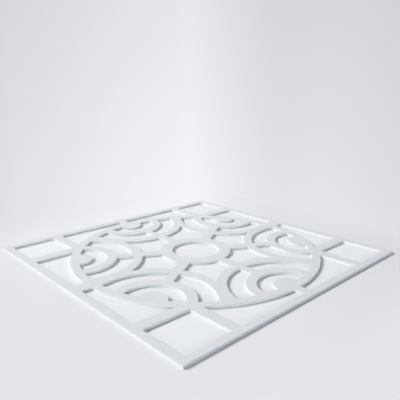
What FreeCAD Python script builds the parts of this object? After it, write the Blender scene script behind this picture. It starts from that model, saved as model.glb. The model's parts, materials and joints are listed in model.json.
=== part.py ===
import FreeCAD
import Part
import math
import os

# A square fretwork screen panel, joined from sawn board and painted.
# It lies face up: the back is at z = 0, the face at z = BOARD_THICKNESS, the centre on the Z axis.
# +X is the panel's right, +Y its top. All sizes are millimetres, all angles degrees.

# Outer frame
PANEL_SIDE = 1200.0
BOARD_THICKNESS = 9.0
FRAME_WIDTH = 31.0

# Ties between the frame and the main ring
TIE_LENGTH = 41.5
SIDE_TIE_WIDTH = 53.0
END_TIE_WIDTH = 37.0

# Main ring and the squares in the panel's corners
RING_WIDTH = 35.0
CORNER_BAR_WIDTH = 43.0
CORNER_BAR_REVEAL = 13.5

# Hub
HUB_INNER_RADIUS = 102.0
HUB_WIDTH = 49.0
HUB_SPOKE_WIDTH = 42.5

# Fans: a boss and two arcs about one centre, which lies on the ring's inner edge
BOSS_RADIUS = 54.5
INNER_ARC_RADIUS = 114.5
INNER_ARC_WIDTH = 39.5
OUTER_ARC_WIDTH = 37.0
OUTER_ARC_LAP = 13.5
FAN_SPOKE_WIDTH = 36.0

# Joinery: every tongue and tenon lies in the middle of the board's thickness
TONGUE_THICKNESS = 3.0
TENON_WIDTH = 16.0
TENON_REACH = 9.0
BAR_SHOULDER = 8.0
STUB_LENGTH = 12.0
CUSP_TENON_WIDTH = 40.0
BOSS_TENON_WIDTH = 50.0
RING_TONGUE_REACH = 16.0
RING_TONGUE_WALL = 2.5
ARC_TONGUE_WIDTH = 44.0
FIT_CLEARANCE = 0.1

# The pattern's counts
FAN_COUNT = 6
FAN_PITCH = 360.0 / FAN_COUNT
FIRST_FAN_ANGLE = FAN_PITCH / 2
CORNER_ANGLE = 45.0
FAN_NAMES = ("upper_right", "top", "upper_left", "lower_left", "bottom", "lower_right")
SEGMENT_NAMES = ("upper_right", "upper_left", "left", "lower_left", "lower_right", "right")
CORNERS = {"top_right": (1, 1), "top_left": (-1, 1), "bottom_left": (-1, -1), "bottom_right": (1, -1)}
TIES = {
    "right": (0.0, SIDE_TIE_WIDTH),
    "top": (90.0, END_TIE_WIDTH),
    "left": (180.0, SIDE_TIE_WIDTH),
    "bottom": (270.0, END_TIE_WIDTH),
}

# Sizes that follow from those above
HALF_SIDE = PANEL_SIDE / 2
FRAME_INSIDE = HALF_SIDE - FRAME_WIDTH
RING_OUTER_RADIUS = FRAME_INSIDE - TIE_LENGTH
RING_INNER_RADIUS = RING_OUTER_RADIUS - RING_WIDTH
HUB_OUTER_RADIUS = HUB_INNER_RADIUS + HUB_WIDTH
FAN_CENTRE_RADIUS = RING_INNER_RADIUS
INNER_ARC_EDGE = INNER_ARC_RADIUS + INNER_ARC_WIDTH
INNER_ARC_LINE = INNER_ARC_RADIUS + INNER_ARC_WIDTH / 2
OUTER_ARC_EDGE = FAN_CENTRE_RADIUS * math.sin(math.radians(FAN_PITCH / 2)) + OUTER_ARC_LAP
OUTER_ARC_RADIUS = OUTER_ARC_EDGE - OUTER_ARC_WIDTH
CORNER_BAR_OUTSIDE = (RING_OUTER_RADIUS + CORNER_BAR_REVEAL) * math.cos(math.radians(CORNER_ANGLE))
CORNER_BAR_LINE = CORNER_BAR_OUTSIDE - CORNER_BAR_WIDTH / 2
RING_TONGUE_WIDTH = RING_WIDTH - 2 * (TENON_REACH + FIT_CLEARANCE + RING_TONGUE_WALL)
MIDDLE = BOARD_THICKNESS / 2
UP = FreeCAD.Vector(0, 0, 1)


def polar(radius, angle, z=0.0):
    """The point at a radius and an angle from the panel's centre."""
    turn = math.radians(angle)
    return FreeCAD.Vector(radius * math.cos(turn), radius * math.sin(turn), z)


def disc(radius, centre=FreeCAD.Vector()):
    """A full-thickness disc."""
    return Part.makeCylinder(radius, BOARD_THICKNESS, centre)


def band(inner_radius, outer_radius, centre=FreeCAD.Vector()):
    """A full-thickness ring."""
    return disc(outer_radius, centre).cut(disc(inner_radius, centre))


def block(x_range, y_range, z_range=(0.0, BOARD_THICKNESS)):
    """A box between pairs of coordinates given in either order."""
    low = [min(pair) for pair in (x_range, y_range, z_range)]
    size = [abs(pair[1] - pair[0]) for pair in (x_range, y_range, z_range)]
    return Part.makeBox(*size, FreeCAD.Vector(*low))


def turned(shape, angle):
    """The shape turned about the panel's centre."""
    copy = shape.copy()
    copy.rotate(FreeCAD.Vector(), UP, angle)
    return copy


def radial_bar(start, end, width, angle):
    """A straight bar along a radius of the panel."""
    return turned(block((start, end), (-width / 2, width / 2)), angle)


def wedge(angle):
    """The slice of the panel that belongs to one fan, or to one ring segment."""
    slice_of_panel = Part.makeCylinder(PANEL_SIDE, BOARD_THICKNESS, FreeCAD.Vector(), UP, FAN_PITCH)
    return turned(slice_of_panel, angle - FAN_PITCH / 2)


def key(length, width, thickness, point, angle):
    """A flat key in the middle of the board's thickness, its length at an angle."""
    shape = Part.makeBox(length, width, thickness, FreeCAD.Vector(-length / 2, -width / 2, -thickness / 2))
    shape.rotate(FreeCAD.Vector(), UP, angle)
    shape.translate(FreeCAD.Vector(point.x, point.y, MIDDLE))
    return shape


def keyed_joint(pieces, names, point, angle, reach, width):
    """Cuts one mortise across the joint of the named pieces and returns the loose key that fills it."""
    slack = 2 * FIT_CLEARANCE
    mortise = key(2 * reach + slack, width + slack, TONGUE_THICKNESS + slack, point, angle)
    for name in names:
        pieces[name] = pieces[name].cut(mortise)
    return key(2 * reach, width, TONGUE_THICKNESS, point, angle)


def chord_distance(radius, width):
    """How far from a circle's centre a flat of the given width is planed across its edge."""
    return math.sqrt(radius**2 - (width / 2)**2)


def stub_tenon(start, width, line, along_x):
    """The tenon on a bar's frame end, and the frame's mortise for it. The bar meets the frame at start."""
    outward = math.copysign(1.0, start)
    half = width / 2 - BAR_SHOULDER
    shapes = []
    for slack in (0.0, FIT_CLEARANCE):
        reach = (start, start + outward * (STUB_LENGTH + slack))
        across = (line - half - slack, line + half + slack)
        depth = (MIDDLE - TONGUE_THICKNESS / 2 - slack, MIDDLE + TONGUE_THICKNESS / 2 + slack)
        shapes.append(block(reach, across, depth) if along_x else block(across, reach, depth))
    return shapes


def frame_members():
    """Two rails and two stiles. A tongue on each rail's end sits in an open slot in the stile's end."""
    pieces = {}
    slot = (MIDDLE - TONGUE_THICKNESS / 2 - FIT_CLEARANCE, MIDDLE + TONGUE_THICKNESS / 2 + FIT_CLEARANCE)
    tongue = (MIDDLE - TONGUE_THICKNESS / 2, MIDDLE + TONGUE_THICKNESS / 2)
    for name, side in (("right", 1), ("left", -1)):
        stile = block((side * FRAME_INSIDE, side * HALF_SIDE), (-HALF_SIDE, HALF_SIDE))
        for end in (1, -1):
            corner = (end * FRAME_INSIDE, end * HALF_SIDE)
            stile = stile.cut(block((side * FRAME_INSIDE, side * HALF_SIDE), corner, slot))
        pieces["frame_" + name + "_stile"] = stile
    for name, side in (("top", 1), ("bottom", -1)):
        across = (side * FRAME_INSIDE, side * HALF_SIDE)
        rail = block((-FRAME_INSIDE, FRAME_INSIDE), across)
        for end in (1, -1):
            rail = rail.fuse(block((end * FRAME_INSIDE, end * HALF_SIDE), across, tongue))
        pieces["frame_" + name + "_rail"] = rail
    return pieces


def ring_segments():
    """The main ring in sawn segments that butt behind the bosses."""
    pieces = {}
    ring = band(RING_INNER_RADIUS, RING_OUTER_RADIUS)
    for index, name in enumerate(SEGMENT_NAMES):
        pieces["ring_segment_" + name] = ring.common(wedge(FAN_PITCH * (index + 1)))
    return pieces


def ring_tongues(pieces):
    """A loose tongue across each butt joint of the main ring."""
    tongues = []
    names = ["ring_segment_" + name for name in SEGMENT_NAMES]
    for index in range(FAN_COUNT):
        angle = FIRST_FAN_ANGLE + FAN_PITCH * index
        point = polar(RING_INNER_RADIUS + RING_WIDTH / 2, angle)
        pair = (names[index - 1], names[index])
        tongues.append(keyed_joint(pieces, pair, point, angle + 90, RING_TONGUE_REACH, RING_TONGUE_WIDTH))
    return tongues


def segments_under(angle, width):
    """The ring segment, or the two of them, that a foot of the given width stands on."""
    half_span = math.degrees(math.asin(width / 2 / RING_OUTER_RADIUS))
    names = []
    for edge in (angle - half_span, angle + half_span):
        index = math.floor((edge - FIRST_FAN_ANGLE) / FAN_PITCH) % FAN_COUNT
        name = "ring_segment_" + SEGMENT_NAMES[index]
        if name not in names:
            names.append(name)
    return names


def ties(pieces):
    """Four short bars that carry the ring in the frame: stubbed into the frame, on flats of the ring."""
    tenons = []
    for name, (angle, width) in TIES.items():
        along_x = name in ("left", "right")
        frame_piece = "frame_" + name + ("_stile" if along_x else "_rail")
        start = FRAME_INSIDE if name in ("right", "top") else -FRAME_INSIDE
        stub, mortise = stub_tenon(start, width, 0.0, along_x)
        seat = chord_distance(RING_OUTER_RADIUS, width)
        bar = radial_bar(seat, FRAME_INSIDE, width, angle)
        segments = segments_under(angle, width)
        for segment in segments:
            pieces[segment] = pieces[segment].cut(bar)
        pieces["tie_" + name] = bar.fuse(stub)
        pieces[frame_piece] = pieces[frame_piece].cut(mortise)
        names = ["tie_" + name] + segments
        tenon_width = width - 2 * BAR_SHOULDER
        tenons.append(keyed_joint(pieces, names, polar(seat, angle), angle, TENON_REACH, tenon_width))
    return tenons


def corner_bars(pieces):
    """Two bars at each corner: stubbed into the frame, coped over the ring and mitred to each other."""
    tenons = []
    for corner, (x_sign, y_sign) in CORNERS.items():
        side = "right" if x_sign > 0 else "left"
        end = "top" if y_sign > 0 else "bottom"
        diagonal = math.degrees(math.atan2(y_sign, x_sign))
        across = (CORNER_BAR_OUTSIDE - CORNER_BAR_WIDTH, CORNER_BAR_OUTSIDE)
        x_across = tuple(x_sign * value for value in across)
        y_across = tuple(y_sign * value for value in across)
        x_along = (x_sign * across[0], x_sign * FRAME_INSIDE)
        y_along = (y_sign * across[0], y_sign * FRAME_INSIDE)
        x_line = x_sign * CORNER_BAR_LINE
        y_line = y_sign * CORNER_BAR_LINE
        rail_turn = -x_sign * y_sign
        layout = (
            ("corner_rail_", block(x_along, y_across), "frame_" + side + "_stile", rail_turn,
             stub_tenon(x_sign * FRAME_INSIDE, CORNER_BAR_WIDTH, y_line, True)),
            ("corner_stile_", block(x_across, y_along), "frame_" + end + "_rail", -rail_turn,
             stub_tenon(y_sign * FRAME_INSIDE, CORNER_BAR_WIDTH, x_line, False)),
        )
        for prefix, bar, frame_piece, turn, (stub, mortise) in layout:
            half_plane = turned(block((0.0, PANEL_SIDE), (0.0, turn * PANEL_SIDE)), diagonal)
            coped = bar.common(half_plane).cut(disc(RING_OUTER_RADIUS))
            name = prefix + corner
            pieces[name] = coped.fuse(stub)
            pieces[frame_piece] = pieces[frame_piece].cut(mortise)
            at = diagonal + turn * corner_foot_angle() / 2
            point = polar(RING_OUTER_RADIUS, at)
            names = [name] + segments_under(at, TENON_WIDTH)
            tenons.append(keyed_joint(pieces, names, point, at, TENON_REACH, TENON_WIDTH))
    return tenons


def corner_foot_angle():
    """The angle at the panel's centre that one coped corner bar covers on the ring."""
    inner_line = CORNER_BAR_OUTSIDE - CORNER_BAR_WIDTH
    return CORNER_ANGLE - math.degrees(math.asin(inner_line / RING_OUTER_RADIUS))


def outer_arc(angle):
    """The fan's outer arc, coped to the ring and cut flat where it meets its neighbours."""
    arc = band(OUTER_ARC_RADIUS, OUTER_ARC_EDGE, polar(FAN_CENTRE_RADIUS, angle))
    return arc.common(disc(RING_INNER_RADIUS)).common(wedge(angle))


def inner_arc(angle):
    """The fan's inner arc, both feet coped to the ring."""
    arc = band(INNER_ARC_RADIUS, INNER_ARC_EDGE, polar(FAN_CENTRE_RADIUS, angle))
    return arc.common(disc(RING_INNER_RADIUS))


def boss(angle):
    """The half disc at the fan's centre, with a flat back."""
    inner_half = block((0.0, FAN_CENTRE_RADIUS), (-BOSS_RADIUS, BOSS_RADIUS))
    return turned(disc(BOSS_RADIUS, polar(FAN_CENTRE_RADIUS, 0.0)).common(inner_half), angle)


def fans(pieces):
    """The six fans and their spokes.

    The hub and the arcs are cut flat where a spoke stands on them, and a boss is let into the ring's edge.
    """
    tenons = []
    hub_seat = chord_distance(HUB_OUTER_RADIUS, HUB_SPOKE_WIDTH)
    hub_spoke_end = FAN_CENTRE_RADIUS - chord_distance(OUTER_ARC_EDGE, HUB_SPOKE_WIDTH)
    fan_spoke_start = FAN_CENTRE_RADIUS - OUTER_ARC_RADIUS
    fan_spoke_end = FAN_CENTRE_RADIUS - chord_distance(INNER_ARC_EDGE, FAN_SPOKE_WIDTH)
    for index, name in enumerate(FAN_NAMES):
        angle = FIRST_FAN_ANGLE + FAN_PITCH * index
        hub_spoke = radial_bar(hub_seat, hub_spoke_end, HUB_SPOKE_WIDTH, angle)
        fan_spoke = radial_bar(fan_spoke_start, fan_spoke_end, FAN_SPOKE_WIDTH, angle)
        pieces["hub_ring"] = pieces["hub_ring"].cut(hub_spoke)
        pieces["hub_spoke_" + name] = hub_spoke
        pieces["outer_arc_" + name] = outer_arc(angle).cut(hub_spoke).cut(fan_spoke)
        pieces["fan_spoke_" + name] = fan_spoke
        pieces["inner_arc_" + name] = inner_arc(angle).cut(fan_spoke)
        pieces["boss_" + name] = boss(angle)
        for segment in segments_under(angle, 2 * BOSS_RADIUS):
            pieces[segment] = pieces[segment].cut(pieces["boss_" + name])
        joints = (
            (hub_seat, "hub_ring", "hub_spoke_" + name),
            (hub_spoke_end, "hub_spoke_" + name, "outer_arc_" + name),
            (fan_spoke_start, "outer_arc_" + name, "fan_spoke_" + name),
            (fan_spoke_end, "fan_spoke_" + name, "inner_arc_" + name),
        )
        for radius, first, second in joints:
            point = polar(radius, angle)
            tenons.append(keyed_joint(pieces, (first, second), point, angle, TENON_REACH, TENON_WIDTH))
    return tenons


def foot_tenons(pieces):
    """Loose tenons between the ring's inner edge and the feet of the arcs and the bosses.

    A boss's tenon bridges the butt joint of the ring behind it, and two neighbouring outer arcs share one.
    """
    tenons = []
    inner_foot = 2 * math.degrees(math.asin(INNER_ARC_LINE / 2 / RING_INNER_RADIUS))
    for index, name in enumerate(FAN_NAMES):
        angle = FIRST_FAN_ANGLE + FAN_PITCH * index
        cusp = angle - FAN_PITCH / 2
        feet = (
            (angle, BOSS_TENON_WIDTH, ("boss_" + name,)),
            (angle - inner_foot, TENON_WIDTH, ("inner_arc_" + name,)),
            (angle + inner_foot, TENON_WIDTH, ("inner_arc_" + name,)),
            (cusp, CUSP_TENON_WIDTH, ("outer_arc_" + name, "outer_arc_" + FAN_NAMES[index - 1])),
        )
        for at, width, names in feet:
            joined = (*names, *segments_under(at, width))
            point = polar(RING_INNER_RADIUS, at)
            tenons.append(keyed_joint(pieces, joined, point, at, TENON_REACH, width))
    return tenons


def arc_tongues(pieces):
    """A loose tongue across each flat joint between neighbouring outer arcs."""
    tongues = []
    half_pitch = math.radians(FAN_PITCH / 2)
    half_lap = math.sqrt(OUTER_ARC_EDGE**2 - (FAN_CENTRE_RADIUS * math.sin(half_pitch))**2)
    joint_start = FAN_CENTRE_RADIUS * math.cos(half_pitch) - half_lap
    for index in range(FAN_COUNT):
        angle = FAN_PITCH * index
        point = polar((joint_start + RING_INNER_RADIUS) / 2, angle)
        pair = ("outer_arc_" + FAN_NAMES[index - 1], "outer_arc_" + FAN_NAMES[index])
        tongues.append(keyed_joint(pieces, pair, point, angle + 90, TENON_REACH, ARC_TONGUE_WIDTH))
    return tongues


def assemble():
    """Every piece of the panel by its node's name."""
    pieces = frame_members()
    pieces.update(ring_segments())
    pieces["hub_ring"] = band(HUB_INNER_RADIUS, HUB_OUTER_RADIUS)
    groups = {"spoke_tenons": fans(pieces)}
    groups["ring_tenons"] = ties(pieces) + corner_bars(pieces) + foot_tenons(pieces)
    groups["ring_tongues"] = ring_tongues(pieces)
    groups["arc_tongues"] = arc_tongues(pieces)
    for name, solids in groups.items():
        pieces[name] = Part.makeCompound(solids)
    return pieces


os.makedirs("parts", exist_ok=True)
for node, shape in assemble().items():
    shape.exportStep("parts/" + node + ".step")
    print(node, len(shape.Solids), round(shape.Volume), shape.isValid())
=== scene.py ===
import json
import math

import bmesh
import bpy
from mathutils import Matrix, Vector


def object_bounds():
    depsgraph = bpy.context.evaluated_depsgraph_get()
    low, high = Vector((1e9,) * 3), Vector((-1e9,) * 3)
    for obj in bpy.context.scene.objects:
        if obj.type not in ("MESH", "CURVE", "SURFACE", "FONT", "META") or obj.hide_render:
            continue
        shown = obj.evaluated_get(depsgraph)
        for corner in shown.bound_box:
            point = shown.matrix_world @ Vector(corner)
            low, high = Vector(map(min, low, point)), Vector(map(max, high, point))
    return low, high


# A square fretwork panel lies face up on a pale studio floor. All lengths are metres.
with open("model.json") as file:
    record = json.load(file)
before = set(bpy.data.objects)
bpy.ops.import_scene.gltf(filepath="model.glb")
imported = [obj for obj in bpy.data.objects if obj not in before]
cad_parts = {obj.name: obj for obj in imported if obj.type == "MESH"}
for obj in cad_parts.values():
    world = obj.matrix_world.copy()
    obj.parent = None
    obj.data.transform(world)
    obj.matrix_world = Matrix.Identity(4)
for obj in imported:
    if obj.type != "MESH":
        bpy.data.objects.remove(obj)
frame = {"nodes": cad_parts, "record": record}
cad_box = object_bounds()

PANEL_HIGH = cad_box[1]
HALF_SIDE = PANEL_HIGH.x
FACE_CENTRE = Vector((0.0, 0.0, PANEL_HIGH.z))
FULL_RANGE = (0.0, 1.0)
FALLING_RANGE = (1.0, 0.0)

# Sockets of a Mix node, which has a set of them for each kind of value
MIX_COLOURS_IN = (6, 7)
MIX_COLOUR_OUT = 2
MIX_NUMBERS_IN = (2, 3)
MIX_NUMBER_OUT = 0

# Edges of the painted pieces, rubbed down with fine paper
WELD_DISTANCE = 0.00001
EASED_EDGE = 0.0003
EASED_EDGE_SEGMENTS = 2
SHARP_EDGE_ANGLE = math.radians(30)

# White satin paint. The sawn edges have a thinner coat. The frame's outer edges are darker still: painted
# shade.
PAINT_WHITE = (0.732, 0.752, 0.782, 1.0)
PAINT_WHITE_THIN = (0.720, 0.741, 0.772, 1.0)
PAINT_EDGE = (0.700, 0.718, 0.733, 1.0)
OUTER_EDGE_PAINTED_SHADE = (0.645, 0.661, 0.675, 1.0)
PAINT_SPECULAR = 0.22
FACE_ROUGHNESS = (0.56, 0.66)
EDGE_ROUGHNESS = (0.58, 0.70)

# Where the paint's parts begin and end: the levelness of the face and of the edges, and the distance from
# the centre lines at which the painted shade on the outer edges begins
FACE_LEVELNESS = (0.1, 0.95)
EDGE_LEVELNESS = (0.05, 0.3)
OUTER_EDGE_SHADE_REACH = (HALF_SIDE - 0.01, HALF_SIDE - 0.005)

# Textures of the paint: how many to a metre, how fine, how much of the noise counts, how deep
MOTTLE_PER_METRE = 11.0
MOTTLE_DETAIL = 3.0
MOTTLE_NOISE = (0.35, 0.65)
ROLLER_PATCH_PER_METRE = 70.0
ROLLER_PATCH_DETAIL = 2.0
ROLLER_PATCH_NOISE = (0.3, 0.7)
STIPPLE_PER_METRE = 850.0
STIPPLE_DETAIL = 2.0
STIPPLE_HEIGHT = 0.00004
STIPPLE_STRENGTH = 0.5
SAW_MARK_PER_METRE = (500.0, 500.0, 2200.0)
SAW_MARK_DETAIL = 2.0
SAW_MARK_HEIGHT = 0.000012
SAW_MARK_STRENGTH = 0.6

# Bare hardwood of the hidden tenons and tongues
HARDWOOD_PALE = (0.56, 0.37, 0.20, 1.0)
HARDWOOD_DARK = (0.38, 0.22, 0.105, 1.0)
HARDWOOD_ROUGHNESS = (0.72, 0.58)
GRAIN_PER_METRE = (60.0, 900.0, 900.0)
GRAIN_DETAIL = 4.0
GRAIN_NOISE = (0.3, 0.7)
GRAIN_HEIGHT = 0.00008
GRAIN_STRENGTH = 0.5

# Studio floor: white under the panel, greyer beside it, and passing into the backdrop further out. The
# grey paper is the backdrop's colour, lifted by a tint to look like the backdrop under these lamps.
FLOOR_RADIUS = 60.0
FLOOR_SIDES = 96
FLOOR_DROP = 0.0002
FLOOR_WHITE = (0.895, 0.905, 0.931, 1.0)
FLOOR_ROUGHNESS = 0.9
FLOOR_GREYING = (HALF_SIDE - 0.005, HALF_SIDE + 0.018)
FLOOR_GREY_TINT = (1.085, 1.071, 1.049)
FLOOR_FADE = (HALF_SIDE + 0.05, HALF_SIDE + 0.35)

# Backdrop: a pool of light behind the panel and a calm floor in front of it. Both greys go by the angle,
# in degrees, to the right of a line across the panel. The height of the direction, seen from a fixed
# point, blends the two and sets their strength. All round and straight below, the grey is plain.
BACKDROP_CENTRE = (-1.279, -1.382, 0.716)
BACKDROP_TURN = math.radians(-43.35)
BACKDROP_AHEAD = (-math.sin(BACKDROP_TURN), math.cos(BACKDROP_TURN), 0.0)
BACKDROP_RIGHT = (math.cos(BACKDROP_TURN), math.sin(BACKDROP_TURN), 0.0)
BACKDROP_UP = (0.0, 0.0, 1.0)
BACKDROP_TINT = (0.976, 0.986, 1.038)
PLAIN_GREY = 0.775
BACKDROP_GREYS = (
    (-70, PLAIN_GREY), (-50, PLAIN_GREY), (-27, 0.69), (-22, 0.72), (-3, 0.90), (1, 0.86),
    (8.5, 0.71), (15.5, 0.765), (24, 0.69), (27, 0.68), (50, PLAIN_GREY), (70, PLAIN_GREY),
)
NEAR_FLOOR_GREYS = (
    (-70, PLAIN_GREY), (-50, PLAIN_GREY), (-27, 0.71), (-20, 0.735), (4, 0.745),
    (14, 0.755), (25, 0.71), (50, PLAIN_GREY), (70, PLAIN_GREY),
)
UNDERFOOT_GREY = 0.755
NEAR_FLOOR_BLEND = (-0.45, -0.2)
UNDERFOOT_BLEND = (-0.92, -0.64)
BACKDROP_RISE = ((-0.3, 0.155), (1.085, 0.93))
SKY_WHITE = (0.78, 0.88, 1.0, 1.0)
SKY_STRENGTH = 0.025

# Softboxes: angle anticlockwise from +X and angle above the floor in degrees, distance, width, height,
# strength. The two that fill the shadows are a little cool.
LAMPS = {
    "key_softbox": (127.0, 32.5, 20.0, 13.4, 6.4, 1.15),
    "low_back_softbox": (100.0, 22.0, 20.0, 6.6, 6.6, 0.08),
    "right_back_softbox": (50.0, 36.0, 20.0, 6.6, 6.6, 0.27),
    "right_softbox": (352.0, 11.0, 20.0, 6.6, 5.0, 0.19),
    "front_softbox": (248.0, 14.0, 20.0, 5.8, 5.0, 0.41),
    "left_softbox": (205.0, 10.0, 8.0, 2.4, 1.6, 0.18),
}
COOL_LAMPS = ("right_softbox", "front_softbox")
COOL_LIGHT = (0.87, 0.935, 1.0)

# Camera, given from the centre of the panel's face
CAMERA_AZIMUTH = math.radians(-43.35)
CAMERA_ELEVATION = math.radians(14.44)
CAMERA_DISTANCE = 2.0
CAMERA_RIGHT = 0.019
CAMERA_UP = 0.215
CAMERA_LENS_MM = 41.3
CAMERA_SENSOR_MM = 36.0


def new_material(name):
    """An empty node material with its output and one shader."""
    material = bpy.data.materials.new(name)
    material.use_nodes = True
    tree = material.node_tree
    tree.nodes.clear()
    output = tree.nodes.new("ShaderNodeOutputMaterial")
    shader = tree.nodes.new("ShaderNodeBsdfPrincipled")
    tree.links.new(shader.outputs["BSDF"], output.inputs["Surface"])
    return material, tree, shader


def worked_out(tree, operation, *values):
    """A number worked out from one or two others."""
    node = tree.nodes.new("ShaderNodeMath")
    node.operation = operation
    for value, socket in zip(values, node.inputs):
        tree.links.new(value, socket)
    return node.outputs["Value"]


def vector_node(tree, operation, vector, constant=None):
    """A node that works on a vector, with a constant as its second vector if one is given."""
    node = tree.nodes.new("ShaderNodeVectorMath")
    node.operation = operation
    tree.links.new(vector, node.inputs[0])
    if constant is not None:
        node.inputs[1].default_value = constant
    return node


def scaled(tree, colour, share):
    """A colour made stronger or weaker by a number."""
    node = vector_node(tree, "SCALE", colour)
    tree.links.new(share, node.inputs["Scale"])
    return node.outputs["Vector"]


def noise(tree, coordinates, per_metre, detail):
    """A noise texture. A triple of counts per metre stretches it."""
    texture = tree.nodes.new("ShaderNodeTexNoise")
    texture.inputs["Detail"].default_value = detail
    if isinstance(per_metre, tuple):
        mapping = tree.nodes.new("ShaderNodeMapping")
        mapping.inputs["Scale"].default_value = per_metre
        tree.links.new(coordinates, mapping.inputs["Vector"])
        tree.links.new(mapping.outputs["Vector"], texture.inputs["Vector"])
        texture.inputs["Scale"].default_value = 1.0
    else:
        tree.links.new(coordinates, texture.inputs["Vector"])
        texture.inputs["Scale"].default_value = per_metre
    return texture.outputs["Fac"]


def ranged(tree, value, source, target, course="LINEAR"):
    """The value mapped from one range to another and held at its ends."""
    node = tree.nodes.new("ShaderNodeMapRange")
    node.interpolation_type = course
    node.inputs["From Min"].default_value, node.inputs["From Max"].default_value = source
    node.inputs["To Min"].default_value, node.inputs["To Max"].default_value = target
    tree.links.new(value, node.inputs["Value"])
    return node.outputs["Result"]


def colour_mix(tree, factor, first, second):
    """Two colours mixed by a factor. A colour is a constant or a socket."""
    node = tree.nodes.new("ShaderNodeMix")
    node.data_type = "RGBA"
    tree.links.new(factor, node.inputs["Factor"])
    for socket, colour in zip(MIX_COLOURS_IN, (first, second)):
        if isinstance(colour, tuple):
            node.inputs[socket].default_value = colour
        else:
            tree.links.new(colour, node.inputs[socket])
    return node.outputs[MIX_COLOUR_OUT]


def number_mix(tree, factor, first, second):
    """Two numbers mixed by a factor. Both are sockets."""
    node = tree.nodes.new("ShaderNodeMix")
    node.data_type = "FLOAT"
    tree.links.new(factor, node.inputs["Factor"])
    for socket, number in zip(MIX_NUMBERS_IN, (first, second)):
        tree.links.new(number, node.inputs[socket])
    return node.outputs[MIX_NUMBER_OUT]


def bump(tree, height, distance, strength, under=None):
    """A bump from a height texture, laid over another bump if one is given."""
    node = tree.nodes.new("ShaderNodeBump")
    node.inputs["Distance"].default_value = distance
    node.inputs["Strength"].default_value = strength
    tree.links.new(height, node.inputs["Height"])
    if under is not None:
        tree.links.new(under, node.inputs["Normal"])
    return node.outputs["Normal"]


def levelness(tree):
    """How level the surface is: 1 on the face and the back, 0 on the sawn edges, between on eased edges."""
    geometry = tree.nodes.new("ShaderNodeNewGeometry")
    parts = tree.nodes.new("ShaderNodeSeparateXYZ")
    tree.links.new(geometry.outputs["True Normal"], parts.inputs["Vector"])
    return worked_out(tree, "ABSOLUTE", parts.outputs["Z"])


def reach(tree, coordinates):
    """How far a point lies from the panel's centre lines: the larger of its two distances."""
    sides = tree.nodes.new("ShaderNodeSeparateXYZ")
    tree.links.new(vector_node(tree, "ABSOLUTE", coordinates).outputs["Vector"], sides.inputs["Vector"])
    return worked_out(tree, "MAXIMUM", sides.outputs["X"], sides.outputs["Y"])


def white_paint():
    """Rolled satin paint: faint mottling and stipple on the face, saw marks under it on the edges, and
    painted shade on the frame's outer edges.
    """
    material, tree, shader = new_material("white_satin_paint")
    coordinates = tree.nodes.new("ShaderNodeTexCoord").outputs["Object"]
    level = levelness(tree)
    on_face = ranged(tree, level, FACE_LEVELNESS, FULL_RANGE)

    mottle = noise(tree, coordinates, MOTTLE_PER_METRE, MOTTLE_DETAIL)
    coat = ranged(tree, mottle, MOTTLE_NOISE, FULL_RANGE)
    face_colour = colour_mix(tree, coat, PAINT_WHITE_THIN, PAINT_WHITE)
    # Painted shade: the frame's outer edges are painted darker than the other edges.
    outer_edge_shade = ranged(tree, reach(tree, coordinates), OUTER_EDGE_SHADE_REACH, FULL_RANGE)
    edge_colour_and_shade = colour_mix(tree, outer_edge_shade, PAINT_EDGE, OUTER_EDGE_PAINTED_SHADE)
    tree.links.new(colour_mix(tree, on_face, edge_colour_and_shade, face_colour), shader.inputs["Base Color"])

    patches = noise(tree, coordinates, ROLLER_PATCH_PER_METRE, ROLLER_PATCH_DETAIL)
    face_roughness = ranged(tree, patches, ROLLER_PATCH_NOISE, FACE_ROUGHNESS)
    edge_roughness = ranged(tree, patches, ROLLER_PATCH_NOISE, EDGE_ROUGHNESS)
    tree.links.new(number_mix(tree, on_face, edge_roughness, face_roughness), shader.inputs["Roughness"])

    stipple = noise(tree, coordinates, STIPPLE_PER_METRE, STIPPLE_DETAIL)
    stippled = bump(tree, stipple, STIPPLE_HEIGHT, STIPPLE_STRENGTH)
    saw_marks = noise(tree, coordinates, SAW_MARK_PER_METRE, SAW_MARK_DETAIL)
    edge_only = ranged(tree, level, EDGE_LEVELNESS, FALLING_RANGE)
    marks = worked_out(tree, "MULTIPLY", saw_marks, edge_only)
    tree.links.new(bump(tree, marks, SAW_MARK_HEIGHT, SAW_MARK_STRENGTH, stippled), shader.inputs["Normal"])
    shader.inputs["Specular IOR Level"].default_value = PAINT_SPECULAR
    return material


def bare_hardwood():
    """Straight-grained bare hardwood."""
    material, tree, shader = new_material("bare_hardwood")
    coordinates = tree.nodes.new("ShaderNodeTexCoord").outputs["Object"]
    grain = noise(tree, coordinates, GRAIN_PER_METRE, GRAIN_DETAIL)
    figure = ranged(tree, grain, GRAIN_NOISE, FULL_RANGE)
    tree.links.new(colour_mix(tree, figure, HARDWOOD_DARK, HARDWOOD_PALE), shader.inputs["Base Color"])
    tree.links.new(ranged(tree, grain, GRAIN_NOISE, HARDWOOD_ROUGHNESS), shader.inputs["Roughness"])
    tree.links.new(bump(tree, grain, GRAIN_HEIGHT, GRAIN_STRENGTH), shader.inputs["Normal"])
    return material


def ease_edges(piece):
    """Takes the sharpness off a piece's edges."""
    weld = piece.modifiers.new("joined_faces", "WELD")
    weld.merge_threshold = WELD_DISTANCE
    bevel = piece.modifiers.new("eased_edges", "BEVEL")
    bevel.width = EASED_EDGE
    bevel.segments = EASED_EDGE_SEGMENTS
    bevel.limit_method = "ANGLE"
    bevel.angle_limit = SHARP_EDGE_ANGLE
    shading = piece.modifiers.new("even_shading", "WEIGHTED_NORMAL")
    shading.keep_sharp = False


def finish_pieces():
    """Gives every piece of the panel its finish, by the material slot that the record states for it."""
    slots = {row["node"]: row["material_slot"] for row in frame["record"]["subparts"]}
    finishes = {"white_paint": white_paint(), "bare_wood": bare_hardwood()}
    for name, piece in frame["nodes"].items():
        slot = slots[name]
        piece.data.materials.clear()
        piece.data.materials.append(finishes[slot])
        if slot == "white_paint":
            ease_edges(piece)


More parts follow.
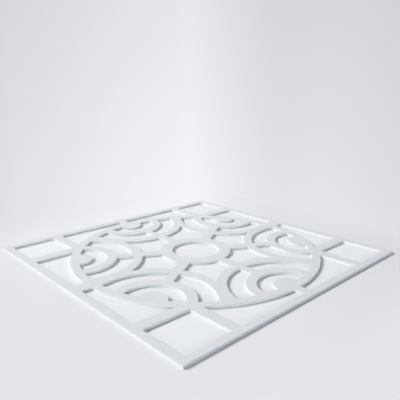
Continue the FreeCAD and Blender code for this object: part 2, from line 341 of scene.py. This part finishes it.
def shown_ray(tree):
    """1 for rays that show the backdrop: seen directly, in a reflection or through glass."""
    ray = tree.nodes.new("ShaderNodeLightPath").outputs
    direct_or_glossy = worked_out(tree, "MAXIMUM", ray["Is Camera Ray"], ray["Is Glossy Ray"])
    return worked_out(tree, "MAXIMUM", direct_or_glossy, ray["Is Transmission Ray"])


def tinted(grey):
    """A grey of the backdrop as a colour."""
    return tuple(grey * part for part in BACKDROP_TINT) + (1.0,)


def greys_by_angle(tree, angle, greys):
    """A tinted grey that changes softly with an angle."""
    span = math.radians(greys[-1][0])
    ramp = tree.nodes.new("ShaderNodeValToRGB")
    ramp.color_ramp.interpolation = "B_SPLINE"
    stops = ramp.color_ramp.elements
    while len(stops) < len(greys):
        stops.new(0.5)
    for stop, (degrees, grey) in zip(stops, greys):
        stop.position = 0.5 + 0.5 * math.radians(degrees) / span
        stop.color = tinted(grey)
    tree.links.new(ranged(tree, angle, (-span, span), FULL_RANGE), ramp.inputs["Fac"])
    return ramp.outputs["Color"]


def backdrop(tree, direction):
    """The studio's colour in a direction."""
    unit = vector_node(tree, "NORMALIZE", direction).outputs["Vector"]
    to_right = vector_node(tree, "DOT_PRODUCT", unit, BACKDROP_RIGHT).outputs["Value"]
    ahead = vector_node(tree, "DOT_PRODUCT", unit, BACKDROP_AHEAD).outputs["Value"]
    height = vector_node(tree, "DOT_PRODUCT", unit, BACKDROP_UP).outputs["Value"]
    angle = worked_out(tree, "ARCTAN2", to_right, ahead)
    near_floor = greys_by_angle(tree, angle, NEAR_FLOOR_GREYS)
    behind = greys_by_angle(tree, angle, BACKDROP_GREYS)
    above_near_floor = ranged(tree, height, NEAR_FLOOR_BLEND, FULL_RANGE, "SMOOTHSTEP")
    colour = colour_mix(tree, above_near_floor, near_floor, behind)
    above_underfoot = ranged(tree, height, UNDERFOOT_BLEND, FULL_RANGE, "SMOOTHSTEP")
    colour = colour_mix(tree, above_underfoot, tinted(UNDERFOOT_GREY), colour)
    return scaled(tree, colour, ranged(tree, height, *BACKDROP_RISE))


def floor_paper():
    """Matt paper, white under the panel and grey beside it. What is seen of it fades into the backdrop."""
    material, tree, paper = new_material("floor_paper")
    paper.inputs["Roughness"].default_value = FLOOR_ROUGHNESS
    paper.inputs["Specular IOR Level"].default_value = 0.0
    coordinates = tree.nodes.new("ShaderNodeTexCoord").outputs["Object"]
    direction = vector_node(tree, "SUBTRACT", coordinates, BACKDROP_CENTRE).outputs["Vector"]
    studio = backdrop(tree, direction)
    # Beside the panel the paper's colour carries the backdrop's painted pool of light.
    grey = vector_node(tree, "MULTIPLY", studio, FLOOR_GREY_TINT).outputs["Vector"]
    away = reach(tree, coordinates)
    beside = ranged(tree, away, FLOOR_GREYING, FULL_RANGE, "SMOOTHSTEP")
    tree.links.new(colour_mix(tree, beside, FLOOR_WHITE, grey), paper.inputs["Base Color"])
    far = ranged(tree, away, FLOOR_FADE, FULL_RANGE, "SMOOTHSTEP")
    glow = tree.nodes.new("ShaderNodeEmission")
    tree.links.new(studio, glow.inputs["Color"])
    mix = tree.nodes.new("ShaderNodeMixShader")
    tree.links.new(worked_out(tree, "MULTIPLY", far, shown_ray(tree)), mix.inputs["Fac"])
    tree.links.new(paper.outputs["BSDF"], mix.inputs[1])
    tree.links.new(glow.outputs["Emission"], mix.inputs[2])
    output = next(node for node in tree.nodes if node.type == "OUTPUT_MATERIAL")
    tree.links.new(mix.outputs["Shader"], output.inputs["Surface"])
    return material


def floor():
    """A wide pale floor."""
    mesh = bpy.data.meshes.new("studio_floor")
    shape = bmesh.new()
    bmesh.ops.create_circle(shape, cap_ends=True, radius=FLOOR_RADIUS, segments=FLOOR_SIDES)
    bmesh.ops.translate(shape, verts=shape.verts, vec=(0.0, 0.0, -FLOOR_DROP))
    shape.to_mesh(mesh)
    shape.free()
    ground = bpy.data.objects.new("studio_floor", mesh)
    bpy.context.scene.collection.objects.link(ground)
    mesh.materials.append(floor_paper())


def sky():
    """Faint even light from all round, and the backdrop where it is seen."""
    world = bpy.data.worlds.new("studio")
    bpy.context.scene.world = world
    world.use_nodes = True
    tree = world.node_tree
    tree.nodes.clear()
    output = tree.nodes.new("ShaderNodeOutputWorld")
    light = tree.nodes.new("ShaderNodeBackground")
    light.inputs["Color"].default_value = SKY_WHITE
    light.inputs["Strength"].default_value = SKY_STRENGTH
    shown = tree.nodes.new("ShaderNodeBackground")
    direction = tree.nodes.new("ShaderNodeTexCoord").outputs["Object"]
    tree.links.new(backdrop(tree, direction), shown.inputs["Color"])
    mix = tree.nodes.new("ShaderNodeMixShader")
    tree.links.new(shown_ray(tree), mix.inputs["Fac"])
    tree.links.new(light.outputs["Background"], mix.inputs[1])
    tree.links.new(shown.outputs["Background"], mix.inputs[2])
    tree.links.new(mix.outputs["Shader"], output.inputs["Surface"])


def lamps():
    """Softboxes that all point at the middle of the panel."""
    for name, (turn, lift, distance, width, height, strength) in LAMPS.items():
        lamp = bpy.data.lights.new(name, "AREA")
        lamp.shape = "RECTANGLE"
        lamp.size = width
        lamp.size_y = height
        lamp.energy = strength * (math.pi * distance) ** 2
        if name in COOL_LAMPS:
            lamp.color = COOL_LIGHT
        holder = bpy.data.objects.new(name, lamp)
        bpy.context.scene.collection.objects.link(holder)
        turn = math.radians(turn)
        lift = math.radians(lift)
        level = math.cos(lift)
        outward = Vector((math.cos(turn) * level, math.sin(turn) * level, math.sin(lift)))
        holder.location = FACE_CENTRE + outward * distance
        holder.rotation_mode = "QUATERNION"
        holder.rotation_quaternion = (-outward).to_track_quat("-Z", "Y")
        holder.visible_camera = False


def camera():
    """A low view across one corner of the panel."""
    data = bpy.data.cameras.new("camera")
    data.sensor_width = CAMERA_SENSOR_MM
    data.lens = CAMERA_LENS_MM
    holder = bpy.data.objects.new("camera", data)
    bpy.context.scene.collection.objects.link(holder)
    bpy.context.scene.camera = holder
    level = math.cos(CAMERA_ELEVATION)
    back = Vector((math.sin(CAMERA_AZIMUTH) * level, -math.cos(CAMERA_AZIMUTH) * level,
                   math.sin(CAMERA_ELEVATION)))
    right = Vector((math.cos(CAMERA_AZIMUTH), math.sin(CAMERA_AZIMUTH), 0.0))
    up = back.cross(right)
    holder.location = FACE_CENTRE + back * CAMERA_DISTANCE + right * CAMERA_RIGHT + up * CAMERA_UP
    holder.rotation_mode = "QUATERNION"
    holder.rotation_quaternion = (-back).to_track_quat("-Z", "Y")


finish_pieces()
floor()
sky()
lamps()
camera()
bpy.context.scene.view_settings.view_transform = "Standard"
